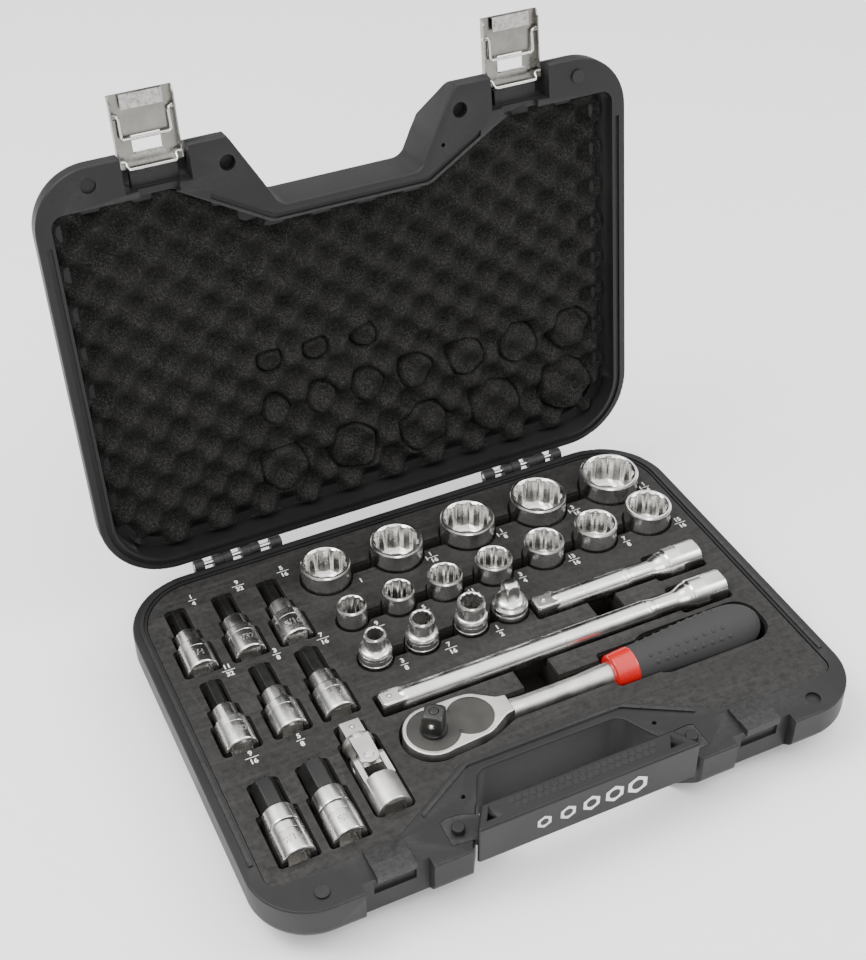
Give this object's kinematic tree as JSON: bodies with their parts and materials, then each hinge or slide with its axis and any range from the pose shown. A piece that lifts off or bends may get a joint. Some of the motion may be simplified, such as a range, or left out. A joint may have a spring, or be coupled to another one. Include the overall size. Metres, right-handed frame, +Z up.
{
  "type": "socket wrench set in case",
  "caption": "Half inch drive socket wrench set in a hinged plastic carrying case, with sockets, bit sockets, extension bars, universal joint and ratchet, shown open.",
  "frame": {"origin": "centre of the case's flat underside", "axes": "+X to the right along the case's length, +Y from the carry handle to the hinge, +Z up"},
  "size_m": [0.4, 0.3637, 0.3626],
  "materials": {
    "case_plastic": "fine-grained charcoal moulding",
    "tray_sheet": "brushed-look black foam skin",
    "tray_foam": "dark cut foam",
    "lid_foam": "egg-crate open-cell foam",
    "chrome": "satin to bright chrome plate",
    "latch_steel": "bright plated sheet steel",
    "pin_steel": "plain steel",
    "black_steel": "black oxide",
    "collar_red": "glossy red",
    "grip_rubber": "matt black rubber with fine bumps"
  },
  "bodies": {
    "case": {"base_shell": "case_plastic", "hinge_pins": "pin_steel", "tray_sheet": "tray_sheet", "tray_foam": "tray_foam", "carry_handle": "case_plastic", "handle_studs": "case_plastic"},
    "lid": {"lid_shell": "case_plastic", "lid_foam": "lid_foam", "latch_link_left": "latch_steel", "latch_link_right": "latch_steel"},
    "latch_lever_left": {"latch_lever_left": "latch_steel"},
    "latch_bail_left": {"latch_bail_left": "latch_steel"},
    "latch_lever_right": {"latch_lever_right": "latch_steel"},
    "latch_bail_right": {"latch_bail_right": "latch_steel"},
    "socket_1_inch": {"socket_1_inch": "chrome"},
    "socket_1_1_16_inch": {"socket_1_1_16_inch": "chrome"},
    "socket_1_1_8_inch": {"socket_1_1_8_inch": "chrome"},
    "socket_1_3_16_inch": {"socket_1_3_16_inch": "chrome"},
    "socket_1_1_4_inch": {"socket_1_1_4_inch": "chrome"},
    "socket_9_16_inch": {"socket_9_16_inch": "chrome"},
    "socket_5_8_inch": {"socket_5_8_inch": "chrome"},
    "socket_11_16_inch": {"socket_11_16_inch": "chrome"},
    "socket_3_4_inch": {"socket_3_4_inch": "chrome"},
    "socket_13_16_inch": {"socket_13_16_inch": "chrome"},
    "socket_7_8_inch": {"socket_7_8_inch": "chrome"},
    "socket_15_16_inch": {"socket_15_16_inch": "chrome"},
    "socket_3_8_inch": {"socket_3_8_inch": "chrome"},
    "socket_7_16_inch": {"socket_7_16_inch": "chrome"},
    "socket_1_2_inch": {"socket_1_2_inch": "chrome"},
    "drive_adapter": {"drive_adapter": "chrome"},
    "bit_socket_1_4": {"bit_holder_1_4": "chrome", "hex_bit_1_4": "black_steel"},
    "bit_socket_9_32": {"bit_holder_9_32": "chrome", "hex_bit_9_32": "black_steel"},
    "bit_socket_5_16": {"bit_holder_5_16": "chrome", "hex_bit_5_16": "black_steel"},
    "bit_socket_11_32": {"bit_holder_11_32": "chrome", "hex_bit_11_32": "black_steel"},
    "bit_socket_3_8": {"bit_holder_3_8": "chrome", "hex_bit_3_8": "black_steel"},
    "bit_socket_7_16": {"bit_holder_7_16": "chrome", "hex_bit_7_16": "black_steel"},
    "bit_socket_9_16": {"bit_holder_9_16": "chrome", "hex_bit_9_16": "black_steel"},
    "bit_socket_5_8": {"bit_holder_5_8": "chrome", "hex_bit_5_8": "black_steel"},
    "extension_bar_long": {"extension_bar_long": "chrome"},
    "extension_bar_short": {"extension_bar_short": "chrome"},
    "joint_socket_end": {"joint_socket_yoke": "chrome"},
    "joint_cross": {"joint_cross": "chrome"},
    "joint_square_end": {"joint_square_yoke": "chrome"},
    "ratchet": {"ratchet_handle": "chrome", "ratchet_plate": "black_steel", "plate_screws": "black_steel", "grip_collar": "collar_red", "ratchet_grip": "grip_rubber"},
    "ratchet_drive": {"ratchet_drive": "black_steel"},
    "release_button": {"release_button": "black_steel"},
    "reversing_lever": {"reversing_lever": "black_steel"}
  },
  "joints": [
    {"name": "lid_hinge", "type": "hinge", "parent": "case", "child": "lid", "pos_m": [0, 0.1485, 0.04], "axis": [1, 0, 0], "range_deg": [0, 97.9], "deforming": ["lid_foam"]},
    {"name": "latch_lever_left", "type": "hinge", "parent": "lid", "child": "latch_lever_left", "pos_m": [-0.122, 0.19787, 0.323], "axis": [1, 0, 0], "range_deg": [0, 90]},
    {"name": "latch_bail_left", "type": "hinge", "parent": "latch_lever_left", "child": "latch_bail_left", "pos_m": [-0.122, 0.20322, 0.34992], "axis": [1, 0, 0], "range_deg": [-60, 0]},
    {"name": "latch_lever_right", "type": "hinge", "parent": "lid", "child": "latch_lever_right", "pos_m": [0.122, 0.19787, 0.323], "axis": [1, 0, 0], "range_deg": [0, 90]},
    {"name": "latch_bail_right", "type": "hinge", "parent": "latch_lever_right", "child": "latch_bail_right", "pos_m": [0.122, 0.20322, 0.34992], "axis": [1, 0, 0], "range_deg": [-60, 0]},
    {"name": "lift_socket_1_inch", "type": "slide", "parent": "case", "child": "socket_1_inch", "axis": [0, 0, -1], "range_m": [-0.06, 0]},
    {"name": "lift_socket_1_1_16_inch", "type": "slide", "parent": "case", "child": "socket_1_1_16_inch", "axis": [0, 0, -1], "range_m": [-0.06, 0]},
    {"name": "lift_socket_1_1_8_inch", "type": "slide", "parent": "case", "child": "socket_1_1_8_inch", "axis": [0, 0, -1], "range_m": [-0.06, 0]},
    {"name": "lift_socket_1_3_16_inch", "type": "slide", "parent": "case", "child": "socket_1_3_16_inch", "axis": [0, 0, -1], "range_m": [-0.06, 0]},
    {"name": "lift_socket_1_1_4_inch", "type": "slide", "parent": "case", "child": "socket_1_1_4_inch", "axis": [0, 0, -1], "range_m": [-0.06, 0]},
    {"name": "lift_socket_9_16_inch", "type": "slide", "parent": "case", "child": "socket_9_16_inch", "axis": [0, 0, -1], "range_m": [-0.06, 0]},
    {"name": "lift_socket_5_8_inch", "type": "slide", "parent": "case", "child": "socket_5_8_inch", "axis": [0, 0, -1], "range_m": [-0.06, 0]},
    {"name": "lift_socket_11_16_inch", "type": "slide", "parent": "case", "child": "socket_11_16_inch", "axis": [0, 0, -1], "range_m": [-0.06, 0]},
    {"name": "lift_socket_3_4_inch", "type": "slide", "parent": "case", "child": "socket_3_4_inch", "axis": [0, 0, -1], "range_m": [-0.06, 0]},
    {"name": "lift_socket_13_16_inch", "type": "slide", "parent": "case", "child": "socket_13_16_inch", "axis": [0, 0, -1], "range_m": [-0.06, 0]},
    {"name": "lift_socket_7_8_inch", "type": "slide", "parent": "case", "child": "socket_7_8_inch", "axis": [0, 0, -1], "range_m": [-0.06, 0]},
    {"name": "lift_socket_15_16_inch", "type": "slide", "parent": "case", "child": "socket_15_16_inch", "axis": [0, 0, -1], "range_m": [-0.06, 0]},
    {"name": "lift_socket_3_8_inch", "type": "slide", "parent": "case", "child": "socket_3_8_inch", "axis": [0, 0, -1], "range_m": [-0.06, 0]},
    {"name": "lift_socket_7_16_inch", "type": "slide", "parent": "case", "child": "socket_7_16_inch", "axis": [0, 0, -1], "range_m": [-0.06, 0]},
    {"name": "lift_socket_1_2_inch", "type": "slide", "parent": "case", "child": "socket_1_2_inch", "axis": [0, 0, -1], "range_m": [-0.06, 0]},
    {"name": "lift_drive_adapter", "type": "slide", "parent": "case", "child": "drive_adapter", "axis": [0, 0, -1], "range_m": [-0.06, 0]},
    {"name": "lift_bit_socket_1_4", "type": "slide", "parent": "case", "child": "bit_socket_1_4", "axis": [0, 0, -1], "range_m": [-0.06, 0]},
    {"name": "lift_bit_socket_9_32", "type": "slide", "parent": "case", "child": "bit_socket_9_32", "axis": [0, 0, -1], "range_m": [-0.06, 0]},
    {"name": "lift_bit_socket_5_16", "type": "slide", "parent": "case", "child": "bit_socket_5_16", "axis": [0, 0, -1], "range_m": [-0.06, 0]},
    {"name": "lift_bit_socket_11_32", "type": "slide", "parent": "case", "child": "bit_socket_11_32", "axis": [0, 0, -1], "range_m": [-0.06, 0]},
    {"name": "lift_bit_socket_3_8", "type": "slide", "parent": "case", "child": "bit_socket_3_8", "axis": [0, 0, -1], "range_m": [-0.06, 0]},
    {"name": "lift_bit_socket_7_16", "type": "slide", "parent": "case", "child": "bit_socket_7_16", "axis": [0, 0, -1], "range_m": [-0.06, 0]},
    {"name": "lift_bit_socket_9_16", "type": "slide", "parent": "case", "child": "bit_socket_9_16", "axis": [0, 0, -1], "range_m": [-0.06, 0]},
    {"name": "lift_bit_socket_5_8", "type": "slide", "parent": "case", "child": "bit_socket_5_8", "axis": [0, 0, -1], "range_m": [-0.06, 0]},
    {"name": "lift_extension_bar_long", "type": "slide", "parent": "case", "child": "extension_bar_long", "axis": [0, 0, -1], "range_m": [-0.06, 0]},
    {"name": "lift_extension_bar_short", "type": "slide", "parent": "case", "child": "extension_bar_short", "axis": [0, 0, -1], "range_m": [-0.06, 0]},
    {"name": "lift_joint_socket_end", "type": "slide", "parent": "case", "child": "joint_socket_end", "axis": [0, 0, -1], "range_m": [-0.06, 0]},
    {"name": "joint_lift", "type": "hinge", "parent": "joint_socket_end", "child": "joint_cross", "pos_m": [-0.1036, -0.06, 0.038], "axis": [1, 0, 0], "range_deg": [0, 40]},
    {"name": "joint_swing", "type": "hinge", "parent": "joint_cross", "child": "joint_square_end", "pos_m": [-0.1036, -0.06, 0.038], "axis": [0, 0, 1], "range_deg": [-4, 4]},
    {"name": "lift_ratchet", "type": "slide", "parent": "case", "child": "ratchet", "axis": [0, 0, -1], "range_m": [-0.06, 0]},
    {"name": "ratchet_spin", "type": "hinge", "parent": "ratchet", "child": "ratchet_drive", "pos_m": [-0.0595, -0.057, 0.0436], "axis": [0, 0, 1], "continuous": true},
    {"name": "release_press", "type": "slide", "parent": "ratchet_drive", "child": "release_button", "axis": [0, 0, -1], "range_m": [0, 0.002], "stiffness_N_per_m": 300, "springref_m": -0.004},
    {"name": "reversing_turn", "type": "hinge", "parent": "ratchet", "child": "reversing_lever", "pos_m": [-0.0345, -0.0562, 0.0264], "axis": [0, 0, 1], "range_deg": [0, 40]}
  ]
}
